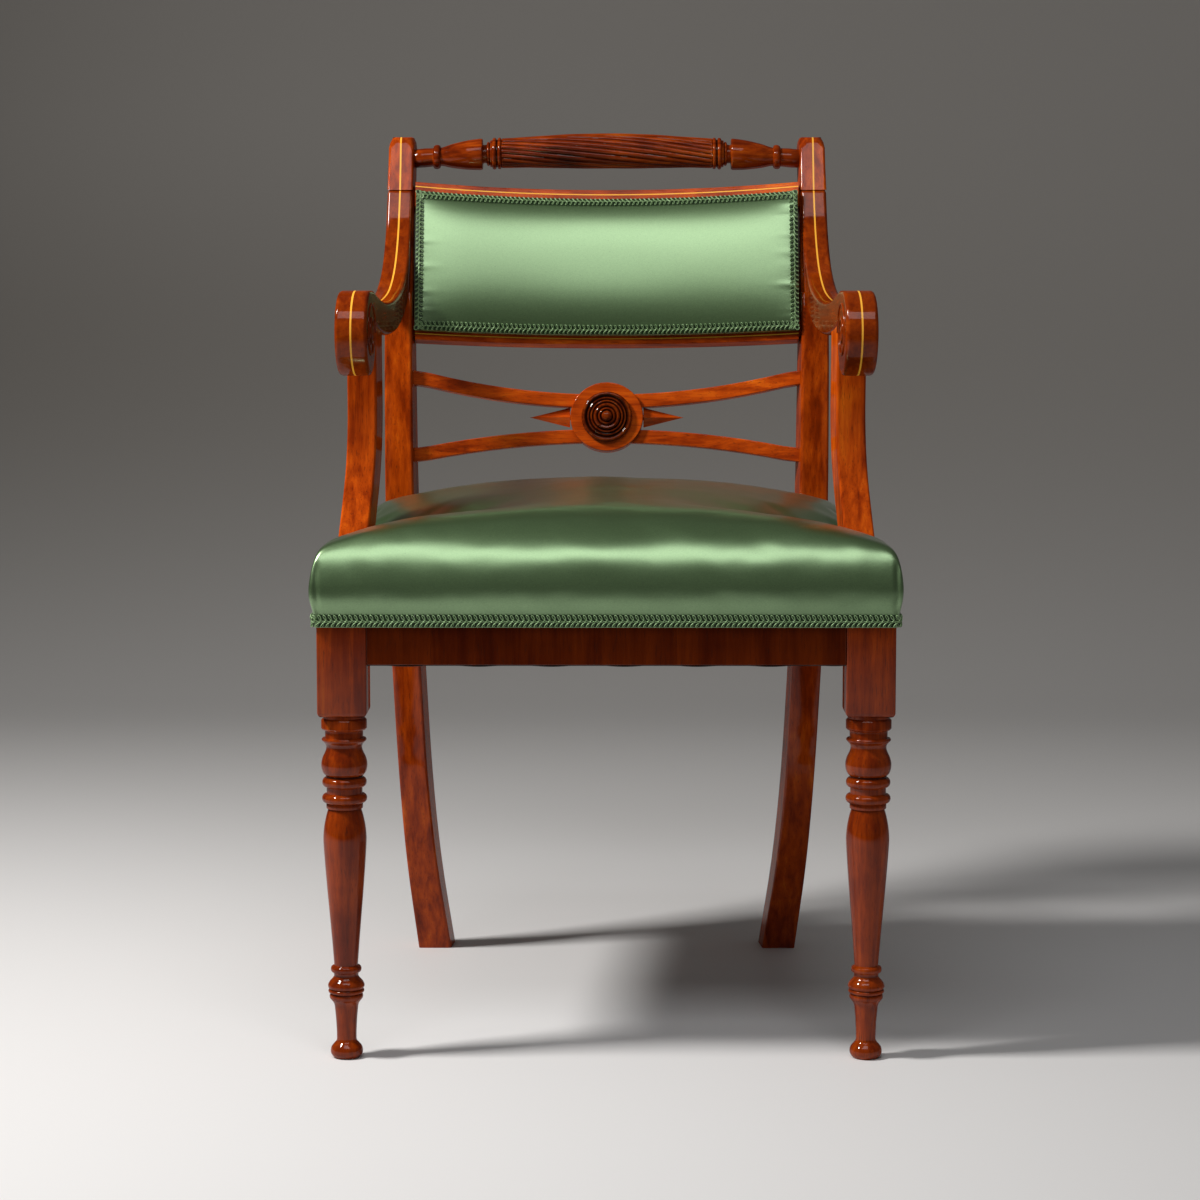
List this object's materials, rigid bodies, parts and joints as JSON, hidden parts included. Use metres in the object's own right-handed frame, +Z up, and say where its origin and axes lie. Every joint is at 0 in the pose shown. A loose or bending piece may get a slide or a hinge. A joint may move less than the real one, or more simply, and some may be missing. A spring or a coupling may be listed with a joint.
{
  "type": "open armchair",
  "caption": "Open wooden armchair with turned front legs, sabre back legs, scrolled arms, a turned top rail, a padded back panel over a roundel splat, and a padded seat.",
  "frame": {"origin": "on the floor under the middle of the chair's outer box", "axes": "+Z up, -Y towards the front, so a sitter faces -Y; +X is the sitter's left"},
  "size_m": [0.539, 0.5454, 0.87],
  "materials": {
    "mahogany": "french polished red-brown mahogany, glossy",
    "dark_mahogany": "dark stained and polished, glossy",
    "beech": "raw sawn beech",
    "satin": "green silk satin with a soft sheen",
    "gimp": "looped green braid",
    "canvas": "plain linen webbing, canvas and covered horsehair",
    "dust_cloth": "thin black cloth",
    "steel": "plain wood screws"
  },
  "bodies": {
    "root": {"front_leg_left": "mahogany", "front_leg_right": "mahogany", "back_post_left": "mahogany", "back_post_right": "mahogany", "side_rail_left": "mahogany", "side_rail_right": "mahogany", "arm_left": "mahogany", "arm_right": "mahogany", "arm_support_left": "mahogany", "arm_support_right": "mahogany", "spear_point_left": "mahogany", "spear_point_right": "mahogany", "front_rail": "mahogany", "back_rail": "mahogany", "top_rail": "mahogany", "panel_top_rail": "mahogany", "panel_bottom_rail": "mahogany", "upper_cross_bar": "mahogany", "lower_cross_bar": "mahogany", "roundel": "mahogany", "roundel_boss": "dark_mahogany", "front_corner_block_left": "beech", "front_corner_block_right": "beech", "back_corner_block_left": "beech", "back_corner_block_right": "beech", "front_rail_screw_left": "steel", "front_rail_screw_right": "steel", "front_side_screw_left": "steel", "front_side_screw_right": "steel", "back_side_screw_left": "steel", "back_side_screw_right": "steel", "back_rail_screw_left": "steel", "back_rail_screw_right": "steel", "arm_screw_left": "steel", "arm_screw_right": "steel", "seat_web_lengthwise_1": "canvas", "seat_web_crosswise_1": "canvas", "seat_web_lengthwise_2": "canvas", "seat_web_crosswise_2": "canvas", "seat_web_lengthwise_3": "canvas", "seat_web_crosswise_3": "canvas", "seat_web_lengthwise_4": "canvas", "seat_web_crosswise_4": "canvas", "back_web_left": "canvas", "back_web_right": "canvas", "seat_canvas": "canvas", "seat_stuffing": "canvas", "back_stuffing": "canvas", "seat_cover": "satin", "back_cover": "satin", "outside_back_cover": "satin", "seat_gimp": "gimp", "back_gimp": "gimp", "dust_cover": "dust_cloth"}
  },
  "joints": []
}
